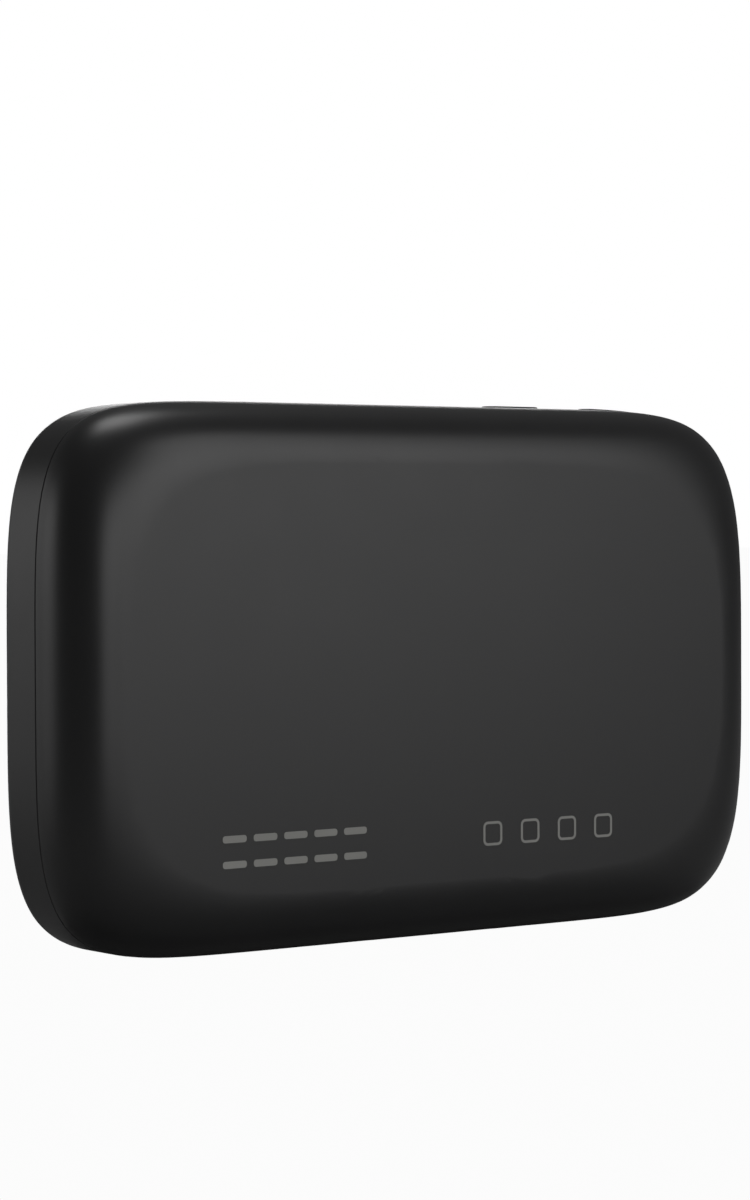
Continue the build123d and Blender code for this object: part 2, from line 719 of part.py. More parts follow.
def battery_terminals():
    """Four gold plates at the bottom of the end cap's slots."""
    x = (BATTERY_X[1] - 0.5, BATTERY_X[1] - 0.2)
    return [block(x, TERMINAL_Y, around(z, TERMINAL_WIDTH)) for z in contact_places()]


def battery_label():
    """The printed film on the battery's outer face."""
    x = (BATTERY_X[0] + 3, BATTERY_X[1] - BATTERY_CAP - 2)
    z = (BATTERY_Z[0] + 3, BATTERY_Z[1] - 3)
    return rounded_plate(x, (BATTERY_Y[1], BATTERY_Y[1] + 0.08), z, 1.5)


def contact_block():
    """The moulded block on the board that carries the battery's contact springs."""
    y = (BOARD_Y[1], CONTACT_BLOCK_TOP_Y)
    body = block(CONTACT_BLOCK_X, y, CONTACT_BLOCK_Z)
    body = chamfer(body.faces().sort_by(Axis.Y)[-1].edges(), 0.4)
    for z in contact_places():
        body -= block((CONTACT_BLOCK_X[0] - 1, CONTACT_BLOCK_X[0] + 1.8), (1.4, 3.7), around(z, 1.4))
    return body


def contact_springs():
    """Four gold springs, each a leaf bowed out of the block towards the battery."""
    springs = []
    for z in contact_places():
        back_x = CONTACT_BLOCK_X[0] + 1.7
        tip_x = BATTERY_X[1] + 0.06
        bow = Polyline((back_x, 1.5), (tip_x, 2.4), (tip_x, 3.0), (back_x, 3.6))
        inner = Polyline((back_x, 3.35), (tip_x + 0.25, 2.8), (tip_x + 0.25, 2.6), (back_x, 1.75))
        joins = [Line(bow @ 1, inner @ 0), Line(inner @ 1, bow @ 0)]
        face = make_face([*bow.edges(), *inner.edges(), *joins])
        springs.append(extrude(Pos(0, 0, z - 0.5) * face, amount=1.0, dir=(0, 0, 1)))
    return springs


def rating_label():
    """The paper label on the floor of the battery bay."""
    return rounded_plate((-34, 14), (BAY_FLOOR_Y, BAY_FLOOR_Y + 0.08), (16, 50), 2.0)


# ---------------------------------------------------------------- antennas
def antenna_feeds():
    """Where the three antennas meet the board, as (x, z)."""
    return [(-47.3, MID_Z), (47.3, MID_Z), (0.0, 59.6)]


def antenna_springs():
    """Three folded contact springs on the back of the board, one for each antenna."""
    springs = []
    for x, z in antenna_feeds():
        outer = block(around(x, 1.6), (BOARD_Y[1], FEED_TOP_Y), around(z, 2.4))
        inner = block(around(x, 2.0), (BOARD_Y[1] + SHEET, FEED_TOP_Y - SHEET), (z - 1.0, z + 2))
        springs.append(outer - inner)
    return springs


def antenna_film(pattern):
    """A conductive film on the frame's outside, in the shape that pattern's boxes cut from it."""
    skin = dome(FRAME_INSET - FILM, (SEAM_Y, FRAME_TOP_Y + FILM), FRAME_EDGE_WIDTH)
    area = pattern[0]
    for solid in pattern[1:]:
        area += solid
    return (skin & area) - frame_block()


def strip(x, z):
    """A box through the frame's whole height, over the film's area."""
    return block(x, (3.7, BACK_Y), z)


def main_antenna():
    """The long-range antenna, folded round the -X end."""
    arms = [strip((-52, -45.6), (27.0, 39.0)), strip((-52, -48.6), (16.0, 50.0))]
    arms += [strip((-50.5, -46.6), (14.5, 17.5)), strip((-50.5, -46.6), (48.5, 51.5))]
    return antenna_film(arms)


def second_antenna():
    """The second long-range antenna, on the +X end."""
    arms = [strip((45.6, 52), (28.5, 37.5)), strip((48.2, 52), (20.0, 46.0))]
    return antenna_film(arms)


def wifi_antenna():
    """The short-range antenna, along the top."""
    return antenna_film([strip((-11, 11), (58.4, 61.0)), strip((-3, 3), (57.4, 61.0))])


# ---------------------------------------------------------------- every node
def parts():
    """Every sub-part by its name."""
    made = {
        "front_shell": front_shell(),
        "back_cover": back_cover(),
        "rear_frame": rear_frame(),
        "case_screws": case_screws(),
        "display_window": display_window(),
        "window_adhesive": window_adhesive(),
        "lcd_glass": lcd_glass(),
        "lcd_housing": lcd_housing(),
        "lcd_flex": lcd_flex(),
        "lcd_connector": lcd_connector(),
        "lcd_pad": lcd_pad(),
        "main_board": main_board(),
        "board_passives": board_passives(),
        "reset_switch": reset_switch(),
        "reset_plunger": reset_plunger(),
        "usb_shell": usb_shell(),
        "usb_tongue": usb_tongue(),
        "sim_socket_base": sim_socket_base(),
        "sim_socket_cover": sim_socket_cover(),
        "sim_contacts": sim_contacts(),
        "sim_card": sim_card(),
        "sim_card_contacts": sim_card_contacts(),
        "battery_pack": battery_pack(),
        "battery_end_cap": battery_end_cap(),
        "battery_terminals": battery_terminals(),
        "battery_label": battery_label(),
        "battery_contact_block": contact_block(),
        "battery_contact_springs": contact_springs(),
        "rating_label": rating_label(),
        "antenna_springs": antenna_springs(),
        "main_antenna": main_antenna(),
        "second_antenna": second_antenna(),
        "wifi_antenna": wifi_antenna(),
    }
    for name in KEY_X:
        made[f"{name}_key"] = key_cap(name)
        made[f"{name}_switch"] = key_switch(name)
        made[f"{name}_plunger"] = key_plunger(name)
    for name in SHIELDS:
        made[name] = shield(name)
    for name in CHIPS:
        made[name] = chip(name)
    return made


def main():
    """Write one STEP file for each sub-part."""
    os.makedirs("parts", exist_ok=True)
    for name, shape in parts().items():
        solids = shape if isinstance(shape, list) else [shape]
        pieces = [s for item in solids for s in item.solids()]
        export_step(Compound(children=pieces) if len(pieces) > 1 else pieces[0], f"parts/{name}.step")


main()
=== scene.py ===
import json
import math

import bmesh
import bpy
import numpy as np
from mathutils import Matrix, Vector

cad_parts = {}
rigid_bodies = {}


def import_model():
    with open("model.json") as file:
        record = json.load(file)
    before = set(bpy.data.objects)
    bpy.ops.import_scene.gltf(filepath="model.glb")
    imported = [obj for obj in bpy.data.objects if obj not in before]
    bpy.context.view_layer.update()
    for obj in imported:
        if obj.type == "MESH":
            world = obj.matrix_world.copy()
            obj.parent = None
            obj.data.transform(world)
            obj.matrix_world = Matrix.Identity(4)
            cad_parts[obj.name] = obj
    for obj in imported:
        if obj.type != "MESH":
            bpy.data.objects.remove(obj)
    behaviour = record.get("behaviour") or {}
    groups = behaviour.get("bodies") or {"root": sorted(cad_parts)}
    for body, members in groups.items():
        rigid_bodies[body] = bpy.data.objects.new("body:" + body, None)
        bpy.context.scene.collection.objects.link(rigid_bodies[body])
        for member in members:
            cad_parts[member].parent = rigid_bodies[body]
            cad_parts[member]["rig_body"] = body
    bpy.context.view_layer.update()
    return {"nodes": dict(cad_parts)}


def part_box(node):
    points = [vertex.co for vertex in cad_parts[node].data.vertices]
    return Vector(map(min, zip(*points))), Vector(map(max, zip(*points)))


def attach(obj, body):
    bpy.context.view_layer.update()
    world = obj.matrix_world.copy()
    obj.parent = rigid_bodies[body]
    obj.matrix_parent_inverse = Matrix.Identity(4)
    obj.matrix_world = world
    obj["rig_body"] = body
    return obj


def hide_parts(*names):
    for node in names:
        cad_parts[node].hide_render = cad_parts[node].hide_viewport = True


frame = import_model()

MM = 0.001
NODES = frame["nodes"]

# ---------------------------------------------------------------- the case's form
# The case outline is |x/a|^p + |z/b|^q = 1. Towards the flat of the back the cover's edge
# rolls in by EDGE_WIDTH, and both powers fall, which makes the corners rounder.
HOUSE_LOW, HOUSE_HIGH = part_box("front_shell")
COVER_LOW, COVER_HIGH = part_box("back_cover")
HALF_WIDTH = (HOUSE_HIGH.x - HOUSE_LOW.x) / 2
HALF_HEIGHT = (COVER_HIGH.z - COVER_LOW.z) / 2
MID_Z = (COVER_HIGH.z + COVER_LOW.z) / 2
BACK_Y = COVER_HIGH.y
FRONT_Y = HOUSE_LOW.y
COVER_BASE_Y = COVER_LOW.y
COVER_DEPTH = BACK_Y - COVER_BASE_Y
END_POWER, SIDE_POWER = 9.5, 4.4
END_SOFTEN, SIDE_SOFTEN = 3.5, 1.6
EDGE_WIDTH, EDGE_POWER = 7.5 * MM, 2.2
FRONT_EDGE_RADIUS = 2.0 * MM
STEP = 0.01 * MM  # over which the outline's slope is taken
NEAR_LEVEL = 0.08  # how far from 1 the outline's level may be on the case's outside
NEAR_ANGLE = math.cos(math.radians(22))


def roll_at(y):
    """How far the cover's edge has rolled in at each y: 0 at the seam, 1 at the flat of the back."""
    rise = np.clip((y - COVER_BASE_Y) / COVER_DEPTH, 0.0, 1.0)
    turn = np.arcsin(rise ** (EDGE_POWER / 2))
    return 1.0 - np.cos(turn) ** (2 / EDGE_POWER)


def outline_level(x, z, inset, roll):
    """1 on the case outline moved in by inset, less inside it, more outside it."""
    a = HALF_WIDTH - inset
    b = HALF_HEIGHT - inset
    p = END_POWER - END_SOFTEN * roll
    q = SIDE_POWER - SIDE_SOFTEN * roll
    return np.abs(x / a) ** p + np.abs((z - MID_Z) / b) ** q


def cover_level(x, y, z):
    """The outline's level at the cover's own inset for that y."""
    roll = roll_at(y)
    return outline_level(x, z, EDGE_WIDTH * roll, roll)


def case_outside(points):
    """For points near the case's outside: its smooth outward direction, and whether they lie on it."""
    x, y, z = points.T
    y = np.minimum(y, BACK_Y - STEP)
    normal = np.stack(
        [
            cover_level(x + STEP, y, z) - cover_level(x - STEP, y, z),
            cover_level(x, y + STEP, z) - cover_level(x, y - STEP, z),
            cover_level(x, y, z + STEP) - cover_level(x, y, z - STEP),
        ],
        axis=1,
    )
    normal /= np.linalg.norm(normal, axis=1)[:, None] + 1e-12
    lean = np.clip((FRONT_Y + FRONT_EDGE_RADIUS - y) / FRONT_EDGE_RADIUS, 0.0, 1.0)
    upright = np.sqrt(1.0 - lean**2)
    normal[:, 0] *= upright
    normal[:, 2] *= upright
    normal[:, 1] = np.where(lean > 0, -lean, normal[:, 1])
    roll = roll_at(y)
    inset = EDGE_WIDTH * roll + FRONT_EDGE_RADIUS * (1.0 - upright)
    level = outline_level(x, z, inset, roll)
    on_edge = np.abs(level - 1.0) < NEAR_LEVEL
    on_flat = points[:, 1] > BACK_Y - 2 * STEP
    normal[on_flat] = (0.0, 1.0, 0.0)
    return normal, on_edge | on_flat


def smooth_copy(node, name):
    """A piece with a CAD node's own shape, whose outside is shaded by the case's smooth form."""
    mesh = NODES[node].data.copy()
    mesh.name = name
    mesh.materials.clear()
    piece = bpy.data.objects.new(name, mesh)
    bpy.context.scene.collection.objects.link(piece)
    places = np.array([v.co for v in mesh.vertices])
    corner = np.array([loop.vertex_index for loop in mesh.loops])
    shading = np.array([n.vector for n in mesh.corner_normals])
    smooth, on_case = case_outside(places)
    for face in mesh.polygons:
        loops = np.arange(face.loop_start, face.loop_start + face.loop_total)
        ends = corner[loops]
        facing = smooth[ends] @ np.array(face.normal)
        if on_case[ends].all() and (facing > NEAR_ANGLE).all():
            shading[loops] = smooth[ends]
    mesh.normals_split_custom_set(shading.tolist())
    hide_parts(node)
    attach(piece, NODES[node]["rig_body"])
    return piece


# ---------------------------------------------------------------- materials
PLASTIC_IOR = 1.5
WINDOW_IOR = 1.49
METAL_GRAIN = 0.5 * MM
METAL_TARNISH = 0.1
TRACK_SCALE = 260.0
TRACK_FIELD = 5.3 * MM  # the side of the board's fields, where the tracks turn
PAD_SCALE = 420.0
FILM_TRACK_SCALE = 500.0
TRACK_RISE = 0.01 * MM
LABEL_MARGIN = 3.0 * MM
LABEL_COLUMNS = 6
LABEL_ROWS = 7
LABEL_INKED_SHARE = 0.54  # how much of a label's height its rows of bars take up
BAR_HEIGHT_SHARE = 0.28
BAR_LENGTH_SHARE = 0.86


def new_material(name):
    """A material with a Principled shader and a coordinate input in metres. Returns its parts."""
    material = bpy.data.materials.new(name)
    material.use_nodes = True
    tree = material.node_tree
    shader = tree.nodes["Principled BSDF"]
    place = tree.nodes.new("ShaderNodeTexCoord").outputs["Object"]
    return material, tree, shader, place


def noise(tree, place, size, detail=2.0, stretch=(1, 1, 1)):
    """A noise whose features are about size metres across, longer along a small stretch."""
    mapping = tree.nodes.new("ShaderNodeMapping")
    mapping.inputs["Scale"].default_value = stretch
    tree.links.new(place, mapping.inputs["Vector"])
    node = tree.nodes.new("ShaderNodeTexNoise")
    node.inputs["Scale"].default_value = 1.0 / size
    node.inputs["Detail"].default_value = detail
    tree.links.new(mapping.outputs["Vector"], node.inputs["Vector"])
    return node.outputs["Fac"]


def remap(tree, value, low, high, start=0.3, end=0.7):
    """Carries value's start..end to low..high."""
    node = tree.nodes.new("ShaderNodeMapRange")
    node.inputs["From Min"].default_value = start
    node.inputs["From Max"].default_value = end
    node.inputs["To Min"].default_value = low
    node.inputs["To Max"].default_value = high
    tree.links.new(value, node.inputs["Value"])
    return node.outputs["Result"]


def blend_colours(tree, share, first, second):
    """A colour from first to second by share. Each may be a colour or a socket."""
    node = tree.nodes.new("ShaderNodeMix")
    node.data_type = "RGBA"
    tree.links.new(share, node.inputs["Factor"])
    for socket, colour in ((node.inputs[6], first), (node.inputs[7], second)):
        if isinstance(colour, bpy.types.NodeSocket):
            tree.links.new(colour, socket)
        else:
            socket.default_value = (*colour, 1.0)
    return node.outputs[2]


def bump(tree, shader, height, distance):
    """Raises the surface by distance metres where height is 1."""
    node = tree.nodes.new("ShaderNodeBump")
    node.inputs["Distance"].default_value = distance
    node.inputs["Strength"].default_value = 1.0
    tree.links.new(height, node.inputs["Height"])
    tree.links.new(node.outputs["Normal"], shader.inputs["Normal"])


def moulded(name, colour, roughness, grain=0.25 * MM, depth=0.004 * MM, mottle=0.06):
    """Moulded plastic with a fine grain and a slight, larger unevenness of tone and gloss."""
    material, tree, shader, place = new_material(name)
    cloud = noise(tree, place, 9 * MM, 3.0)
    dark = tuple(c * (1 - mottle) for c in colour)
    light = tuple(c * (1 + mottle) for c in colour)
    tree.links.new(
        blend_colours(tree, remap(tree, cloud, 0, 1), dark, light), shader.inputs["Base Color"]
    )
    fine = noise(tree, place, grain, 2.0)
    rough = remap(tree, cloud, roughness - 0.012, roughness + 0.012)
    tree.links.new(rough, shader.inputs["Roughness"])
    shader.inputs["IOR"].default_value = PLASTIC_IOR
    bump(tree, shader, fine, depth)
    return material


def metal(name, colour, roughness, stretch=(1, 1, 1), depth=0.001 * MM):
    """Sheet metal with a drawn grain and slight tarnish."""
    material, tree, shader, place = new_material(name)
    shader.inputs["Metallic"].default_value = 1.0
    grainy = noise(tree, place, METAL_GRAIN, 3.0, stretch)
    tarnish = noise(tree, place, 4 * MM, 3.0)
    dull = tuple(c * (1 - METAL_TARNISH) for c in colour)
    tree.links.new(
        blend_colours(tree, remap(tree, tarnish, 0, 1), dull, colour), shader.inputs["Base Color"]
    )
    tree.links.new(
        remap(tree, grainy, roughness - 0.06, roughness + 0.06), shader.inputs["Roughness"]
    )
    bump(tree, shader, grainy, depth)
    return material


def clear_window():
    """Clear hard-coated plastic with the faintest smoke."""
    material, tree, shader, place = new_material("clear_window")
    shader.inputs["Transmission Weight"].default_value = 1.0
    shader.inputs["IOR"].default_value = WINDOW_IOR
    cloud = noise(tree, place, 12 * MM, 2.0)
    tree.links.new(
        blend_colours(tree, remap(tree, cloud, 0, 1), (0.5, 0.5, 0.52), (0.55, 0.55, 0.57)),
        shader.inputs["Base Color"],
    )
    tree.links.new(remap(tree, cloud, 0.02, 0.035), shader.inputs["Roughness"])
    return material


def circuit_board():
    """Green solder resist over straight copper tracks, which turn from field to field, with pads."""
    material, tree, shader, place = new_material("circuit_board")
    runs = []
    for direction in ("X", "Z"):
        run = tree.nodes.new("ShaderNodeTexWave")
        run.bands_direction = direction
        run.inputs["Scale"].default_value = TRACK_SCALE
        tree.links.new(place, run.inputs["Vector"])
        runs.append(run.outputs["Fac"])
    fields = tree.nodes.new("ShaderNodeTexChecker")
    fields.inputs["Scale"].default_value = 1.0 / TRACK_FIELD
    tree.links.new(place, fields.inputs["Vector"])
    tracks = tree.nodes.new("ShaderNodeMix")
    tree.links.new(fields.outputs["Fac"], tracks.inputs["Factor"])
    tree.links.new(runs[0], tracks.inputs["A"])
    tree.links.new(runs[1], tracks.inputs["B"])
    height = tracks.outputs["Result"]
    resist = blend_colours(
        tree, remap(tree, height, 0, 1, 0.4, 0.6), (0.008, 0.07, 0.03), (0.015, 0.12, 0.05)
    )
    dots = tree.nodes.new("ShaderNodeTexVoronoi")
    dots.inputs["Scale"].default_value = PAD_SCALE
    tree.links.new(place, dots.inputs["Vector"])
    via = remap(tree, dots.outputs["Distance"], 1, 0, 0.10, 0.14)
    tree.links.new(blend_colours(tree, via, resist, (0.55, 0.4, 0.15)), shader.inputs["Base Color"])
    tree.links.new(remap(tree, via, 0.32, 0.2, 0, 1), shader.inputs["Roughness"])
    bump(tree, shader, height, TRACK_RISE)
    return material


def flexible_film():
    """Amber film with copper tracks running along it."""
    material, tree, shader, place = new_material("flexible_film")
    bands = tree.nodes.new("ShaderNodeTexWave")
    bands.inputs["Scale"].default_value = FILM_TRACK_SCALE
    tree.links.new(place, bands.inputs["Vector"])
    tone = blend_colours(
        tree, remap(tree, bands.outputs["Fac"], 0, 1, 0.4, 0.6), (0.42, 0.17, 0.03), (0.55, 0.27, 0.06)
    )
    tree.links.new(tone, shader.inputs["Base Color"])
    tree.links.new(remap(tree, bands.outputs["Fac"], 0.25, 0.4), shader.inputs["Roughness"])
    bump(tree, shader, bands.outputs["Fac"], TRACK_RISE)
    return material


def inside_range(tree, value, low, high):
    """1 where value is between low and high, and 0 elsewhere."""
    middle = tree.nodes.new("ShaderNodeMath")
    middle.operation = "COMPARE"
    middle.inputs[1].default_value = (low + high) / 2
    middle.inputs[2].default_value = (high - low) / 2
    tree.links.new(value, middle.inputs[0])
    return middle.outputs["Value"]


def both(tree, first, second):
    """1 where both masks are 1."""
    node = tree.nodes.new("ShaderNodeMath")
    node.operation = "MULTIPLY"
    tree.links.new(first, node.inputs[0])
    tree.links.new(second, node.inputs[1])
    return node.outputs["Value"]


def repeated_band(tree, value, start, pitch, share):
    """1 across a share of every pitch along value, counted from start, and 0 in the gaps."""
    shift = tree.nodes.new("ShaderNodeMath")
    shift.operation = "SUBTRACT"
    shift.inputs[1].default_value = start + pitch / 2
    tree.links.new(value, shift.inputs[0])
    fold = tree.nodes.new("ShaderNodeMath")
    fold.operation = "PINGPONG"
    fold.inputs[1].default_value = pitch / 2
    tree.links.new(shift.outputs["Value"], fold.inputs[0])
    return inside_range(tree, fold.outputs["Value"], 0, pitch * share / 2)


def printed_label(name, node, paper, ink, roughness):
    """A label for a CAD node: an even grid of equal bars within its margins, on grained paper."""
    material, tree, shader, place = new_material(name)
    low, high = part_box(node)
    column = (high.x - low.x - 2 * LABEL_MARGIN) / LABEL_COLUMNS
    row = (high.z - low.z) * LABEL_INKED_SHARE / LABEL_ROWS
    parts = tree.nodes.new("ShaderNodeSeparateXYZ")
    tree.links.new(place, parts.inputs["Vector"])
    bars = both(
        tree,
        repeated_band(tree, parts.outputs["Z"], low.z + LABEL_MARGIN, row, BAR_HEIGHT_SHARE),
        repeated_band(tree, parts.outputs["X"], low.x + LABEL_MARGIN, column, BAR_LENGTH_SHARE),
    )
    foot = low.z + LABEL_MARGIN
    bars = both(tree, bars, inside_range(tree, parts.outputs["Z"], foot, foot + row * LABEL_ROWS))
    across = inside_range(
        tree, parts.outputs["X"], low.x + LABEL_MARGIN, high.x - LABEL_MARGIN
    )
    bars = both(tree, bars, across)
    tree.links.new(blend_colours(tree, bars, paper, ink), shader.inputs["Base Color"])
    fibres = noise(tree, place, 0.3 * MM, 4.0)
    rough = remap(tree, fibres, roughness - 0.04, roughness + 0.04)
    tree.links.new(rough, shader.inputs["Roughness"])
    bump(tree, shader, fibres, 0.004 * MM)
    return material


CASE = moulded("case_plastic", (0.0085, 0.0085, 0.009), 0.36, grain=0.22 * MM, depth=0.003 * MM)
KEY = moulded("key_plastic", (0.010, 0.010, 0.0105), 0.38, grain=0.2 * MM, depth=0.003 * MM)
FRAME = moulded("frame_plastic", (0.018, 0.018, 0.019), 0.5)
INK = moulded("printing_ink", (0.26, 0.26, 0.245), 0.6, grain=0.1 * MM, depth=0.002 * MM)
GOLD = metal("gold_plate", (0.83, 0.6, 0.25), 0.25)
BRIGHT_STEEL = metal("bright_steel", (0.62, 0.62, 0.63), 0.28, stretch=(1, 1, 0.15))
TINNED_STEEL = metal("tinned_steel", (0.66, 0.66, 0.64), 0.36, stretch=(0.12, 1, 1))
BLACK_STEEL = metal("blackened_steel", (0.12, 0.12, 0.125), 0.35, depth=0.002 * MM)
COPPER = metal("copper_film", (0.75, 0.42, 0.26), 0.34, stretch=(1, 1, 0.3))
WINDOW = clear_window()
FILM = moulded("black_film", (0.006, 0.006, 0.006), 0.35, depth=0.001 * MM)
LCD = moulded("dark_glass", (0.012, 0.014, 0.02), 0.08, depth=0.0002 * MM)
WHITE = moulded("white_plastic", (0.72, 0.72, 0.70), 0.45)
IVORY = moulded("ivory_plastic", (0.6, 0.55, 0.42), 0.45)
FOAM = moulded("black_foam", (0.02, 0.02, 0.02), 0.9, grain=0.4 * MM, depth=0.1 * MM)
BOARD = circuit_board()
FLEX = flexible_film()
CERAMIC = moulded("ceramic", (0.32, 0.2, 0.12), 0.5, mottle=0.5)
CHIP = moulded("chip_resin", (0.02, 0.02, 0.021), 0.55, grain=0.12 * MM)
BLACK_RESIN = moulded("black_resin", (0.02, 0.02, 0.02), 0.45)
CARD = moulded("white_card", (0.75, 0.75, 0.76), 0.4, depth=0.002 * MM)
CELL = moulded("cell_wrap", (0.05, 0.055, 0.06), 0.3, grain=0.8 * MM, depth=0.003 * MM)
BATTERY_LABEL = printed_label(
    "battery_label", "battery_label", (0.045, 0.05, 0.055), (0.35, 0.36, 0.37), 0.3
)
PAPER_LABEL = printed_label(
    "paper_label", "rating_label", (0.6, 0.6, 0.58), (0.03, 0.03, 0.03), 0.65
)

CAD_MATERIALS = {
    "power_key": KEY,
    "pairing_key": KEY,
    "rear_frame": FRAME,
    "display_window": WINDOW,
    "window_adhesive": FILM,
    "lcd_glass": LCD,
    "lcd_housing": WHITE,
    "lcd_flex": FLEX,
    "lcd_connector": IVORY,
    "lcd_pad": FOAM,
    "main_board": BOARD,
    "board_passives": CERAMIC,
    "baseband_chip": CHIP,
    "memory_chip": CHIP,
    "power_chip": CHIP,
    "radio_chip": CHIP,
    "amplifier_chip": CHIP,
    "wifi_chip": CHIP,
    "baseband_shield": TINNED_STEEL,
    "radio_shield": TINNED_STEEL,
    "wifi_shield": TINNED_STEEL,
    "power_switch": BLACK_RESIN,
    "pairing_switch": BLACK_RESIN,
    "reset_switch": BLACK_RESIN,
    "power_plunger": WHITE,
    "pairing_plunger": WHITE,
    "reset_plunger": WHITE,
    "usb_shell": BRIGHT_STEEL,
    "usb_tongue": BLACK_RESIN,
    "sim_socket_base": BLACK_RESIN,
    "sim_socket_cover": BRIGHT_STEEL,
    "sim_contacts": GOLD,
    "sim_card": CARD,
    "sim_card_contacts": GOLD,
    "case_screws": BLACK_STEEL,
    "battery_pack": CELL,
    "battery_end_cap": BLACK_RESIN,
    "battery_terminals": GOLD,
    "battery_label": BATTERY_LABEL,
    "battery_contact_block": BLACK_RESIN,
    "battery_contact_springs": GOLD,
    "rating_label": PAPER_LABEL,
    "antenna_springs": GOLD,
    "main_antenna": COPPER,
    "second_antenna": COPPER,
    "wifi_antenna": COPPER,
}


def paint(piece, material):
    """Gives a piece one material."""
    piece.data.materials.clear()
    piece.data.materials.append(material)


for node_name, cad_material in CAD_MATERIALS.items():
    paint(NODES[node_name], cad_material)

for node_name in ("front_shell", "back_cover"):
    shell_piece = smooth_copy(node_name, node_name + "_moulding")
    paint(shell_piece, CASE)


# ---------------------------------------------------------------- printing on the back
# Even rows of plain shapes, which follow no printed words or marks. Lengths are millimetres.
PRINT_THICK = 0.02 * MM
PRINT_SINK = 0.01 * MM
DASH_LENGTH, DASH_GAP, DASH_HEIGHT = 3.4, 1.0, 0.85
DASH_COUNT = 5
DASH_START_X = 33.0
DASH_ROWS_Z = {"upper": 14.0, "lower": 11.0}
TILE_SIDE, TILE_PITCH, TILE_STROKE = 3.0, 6.0, 0.32
TILE_COUNT = 4
TILE_PLACE = (-6.0, 11.4)


def flat_piece(name, loops_of_points):
    """A thin printed layer on the back from closed rings of (x, z), in millimetres.

    Each entry is an outer ring, or a pair of rings of equal length: outside and hole.
    """
    mesh = bmesh.new()
    low, high = BACK_Y - PRINT_SINK, BACK_Y + PRINT_THICK
    for entry in loops_of_points:
        rings = entry if isinstance(entry, tuple) else (entry,)
        levels = [
            [[mesh.verts.new((x * MM, y, z * MM)) for x, z in ring] for y in (low, high)]
            for ring in rings
        ]
        count = len(rings[0])
        for ring_levels in levels:
            for k in range(count):
                n = (k + 1) % count
                mesh.faces.new(
                    (ring_levels[0][k], ring_levels[0][n], ring_levels[1][n], ring_levels[1][k])
                )
        for side in (0, 1):
            if len(rings) == 1:
                mesh.faces.new(levels[0][side])
                continue
            for k in range(count):
                n = (k + 1) % count
                mesh.faces.new(
                    (levels[0][side][k], levels[0][side][n], levels[1][side][n], levels[1][side][k])
                )
    bmesh.ops.recalc_face_normals(mesh, faces=mesh.faces)
    data = bpy.data.meshes.new(name)
    mesh.to_mesh(data)
    mesh.free()
    piece = bpy.data.objects.new(name, data)
    bpy.context.scene.collection.objects.link(piece)
    paint(piece, INK)
    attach(piece, "back_cover")


def rounded_bar(x_low, x_high, z_low, z_high, radius, steps=6):
    """The ring of a rounded rectangle."""
    ring = []
    for cx, cz, start in (
        (x_high - radius, z_high - radius, 0),
        (x_low + radius, z_high - radius, 90),
        (x_low + radius, z_low + radius, 180),
        (x_high - radius, z_low + radius, 270),
    ):
        for k in range(steps + 1):
            angle = math.radians(start + 90 * k / steps)
            ring.append((cx + radius * math.cos(angle), cz + radius * math.sin(angle)))
    return ring


def dash_row(z_low):
    """Equal dashes on an even pitch, which stand for no particular words."""
    rings = []
    z_high = z_low + DASH_HEIGHT
    for k in range(DASH_COUNT):
        x_high = DASH_START_X - k * (DASH_LENGTH + DASH_GAP)
        rings.append(
            rounded_bar(x_high - DASH_LENGTH, x_high, z_low, z_high, DASH_HEIGHT * 0.4, steps=4)
        )
    return rings


def tile_row():
    """Equal rounded outlines on an even pitch, plain filler in place of any symbols."""
    rings = []
    x_first, z_low = TILE_PLACE
    z_high = z_low + TILE_SIDE
    for k in range(TILE_COUNT):
        x_low = x_first - k * TILE_PITCH - TILE_SIDE
        x_high = x_low + TILE_SIDE
        outer = rounded_bar(x_low, x_high, z_low, z_high, 0.7)
        inner = rounded_bar(
            x_low + TILE_STROKE,
            x_high - TILE_STROKE,
            z_low + TILE_STROKE,
            z_high - TILE_STROKE,
            0.4,
        )
        rings.append((outer, inner))
    return rings


printing = {f"printed_dashes_{row}": dash_row(z_low) for row, z_low in DASH_ROWS_Z.items()}
printing["printed_tiles"] = tile_row()
for piece_name, rings in printing.items():
    flat_piece(piece_name, rings)


# ---------------------------------------------------------------- room, light and camera
SOFTBOX_DISTANCE, SOFTBOX_WIDTH = 0.9, 0.42
FLOOR_REACH = 6.0
FLOOR_SEEN, FLOOR_LIT = 0.97, 0.4  # to the camera, and to everything else
ROOM_GREY = 0.12
CAMERA_ANGLES = (143.09, 1.197, 0.235)  # azimuth, elevation and roll, in degrees
CAMERA_DISTANCE = 0.42
CAMERA_TARGET = Vector((4.29 * MM, -0.52 * MM, 41.9 * MM))
CAMERA_LENS, CAMERA_SENSOR = 101.86, 36.0


def aim(thing, place, target):
    """Puts a thing at place with its -Z towards target."""
    thing.location = place
    thing.rotation_mode = "QUATERNION"
    thing.rotation_quaternion = (Vector(target) - Vector(place)).to_track_quat("-Z", "Y")


def soft_light(name, azimuth, elevation, power):
    """A square softbox aimed at the middle of the case. Azimuth 0 is in front of the display."""
    turn, lift = math.radians(azimuth), math.radians(elevation)
    direction = Vector(
        (math.sin(turn) * math.cos(lift), -math.cos(turn) * math.cos(lift), math.sin(lift))
    )
    data = bpy.data.lights.new(name, "AREA")
    data.shape = "SQUARE"
    data.size = SOFTBOX_WIDTH
    data.energy = power
    lamp = bpy.data.objects.new(name, data)
    bpy.context.scene.collection.objects.link(lamp)
    middle = Vector((0, 0, MID_Z))
    aim(lamp, middle + direction * SOFTBOX_DISTANCE, middle)


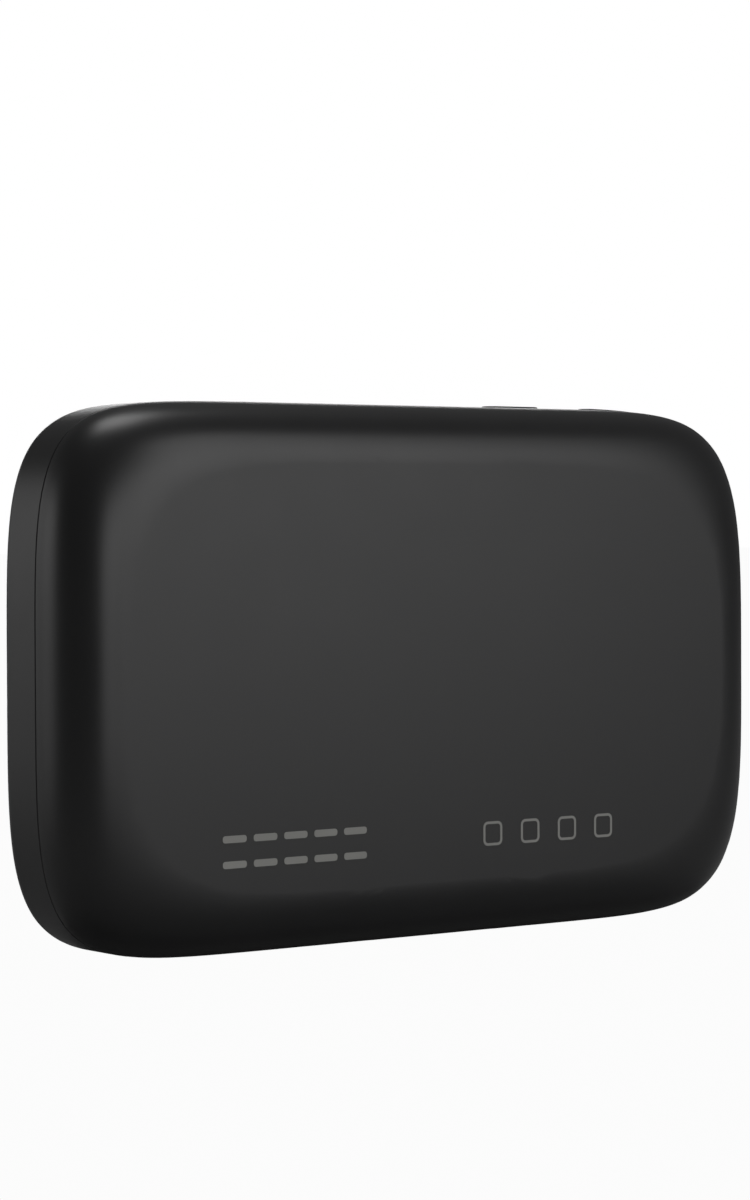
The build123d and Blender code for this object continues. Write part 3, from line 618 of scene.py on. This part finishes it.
def floor():
    """A wide pale floor level with the case's lowest edge, paler to the camera than to the case."""
    mesh = bmesh.new()
    sides = ((-1, -1), (1, -1), (1, 1), (-1, 1))
    mesh.faces.new([mesh.verts.new((x * FLOOR_REACH, y * FLOOR_REACH, 0)) for x, y in sides])
    data = bpy.data.meshes.new("floor")
    mesh.to_mesh(data)
    mesh.free()
    piece = bpy.data.objects.new("floor", data)
    bpy.context.scene.collection.objects.link(piece)
    material = bpy.data.materials.new("pale_floor")
    material.use_nodes = True
    tree = material.node_tree
    tree.nodes.clear()
    output = tree.nodes.new("ShaderNodeOutputMaterial")
    seen = tree.nodes.new("ShaderNodeMixShader")
    path = tree.nodes.new("ShaderNodeLightPath")
    tree.links.new(path.outputs["Is Camera Ray"], seen.inputs["Fac"])
    dull = tree.nodes.new("ShaderNodeBsdfDiffuse")
    dull.inputs["Color"].default_value = (FLOOR_LIT, FLOOR_LIT, FLOOR_LIT, 1)
    glow = tree.nodes.new("ShaderNodeEmission")
    glow.inputs["Color"].default_value = (1, 1, 1, 1)
    glow.inputs["Strength"].default_value = FLOOR_SEEN
    tree.links.new(dull.outputs["BSDF"], seen.inputs[1])
    tree.links.new(glow.outputs["Emission"], seen.inputs[2])
    tree.links.new(seen.outputs["Shader"], output.inputs["Surface"])
    piece.data.materials.append(material)


def room():
    """White where the camera looks, and a soft grey room for light and reflections."""
    world = bpy.data.worlds.new("room")
    bpy.context.scene.world = world
    world.use_nodes = True
    tree = world.node_tree
    tree.nodes.clear()
    output = tree.nodes.new("ShaderNodeOutputWorld")
    path = tree.nodes.new("ShaderNodeLightPath")
    seen = tree.nodes.new("ShaderNodeMixShader")
    white = tree.nodes.new("ShaderNodeBackground")
    white.inputs["Strength"].default_value = 1.0
    white.inputs["Color"].default_value = (1, 1, 1, 1)
    grey = tree.nodes.new("ShaderNodeBackground")
    grey.inputs["Strength"].default_value = 1.0
    grey.inputs["Color"].default_value = (ROOM_GREY, ROOM_GREY, ROOM_GREY, 1)
    tree.links.new(path.outputs["Is Camera Ray"], seen.inputs["Fac"])
    tree.links.new(grey.outputs["Background"], seen.inputs[1])
    tree.links.new(white.outputs["Background"], seen.inputs[2])
    tree.links.new(seen.outputs["Shader"], output.inputs["Surface"])


def camera():
    """The photograph's viewpoint: close, level with the case's upper half, behind its +X end."""
    azimuth, elevation, roll = (math.radians(angle) for angle in CAMERA_ANGLES)
    back = Vector(
        (
            math.sin(azimuth) * math.cos(elevation),
            -math.cos(azimuth) * math.cos(elevation),
            math.sin(elevation),
        )
    )
    right = Vector((0, 0, 1)).cross(back).normalized()
    up = back.cross(right)
    tilted_up = up * math.cos(roll) + right * math.sin(roll)
    tilted_right = right * math.cos(roll) - up * math.sin(roll)
    data = bpy.data.cameras.new("camera")
    data.lens = CAMERA_LENS
    data.sensor_width = CAMERA_SENSOR
    data.clip_start = 0.01
    view = bpy.data.objects.new("camera", data)
    bpy.context.scene.collection.objects.link(view)
    turn = Matrix((tilted_right, tilted_up, back)).transposed().to_4x4()
    view.matrix_world = Matrix.Translation(CAMERA_TARGET + back * CAMERA_DISTANCE) @ turn
    bpy.context.scene.camera = view


floor()
room()
camera()
for name, azimuth, elevation, power in (
    ("back_softbox", 210, 5, 1.25),
    ("back_high_softbox", 210, 30, 1.2),
    ("back_square_softbox", 180, 5, 1.35),
    ("end_softbox", 60, 5, 0.9),
    ("front_end_softbox", 30, 5, 0.4),
    ("front_softbox", 330, 5, 2.0),
    ("overhead_softbox", 330, 84, 2.5),
):
    soft_light(name, azimuth, elevation, power)
bpy.context.scene.view_settings.view_transform = "Standard"
bpy.context.scene.view_settings.look = "None"
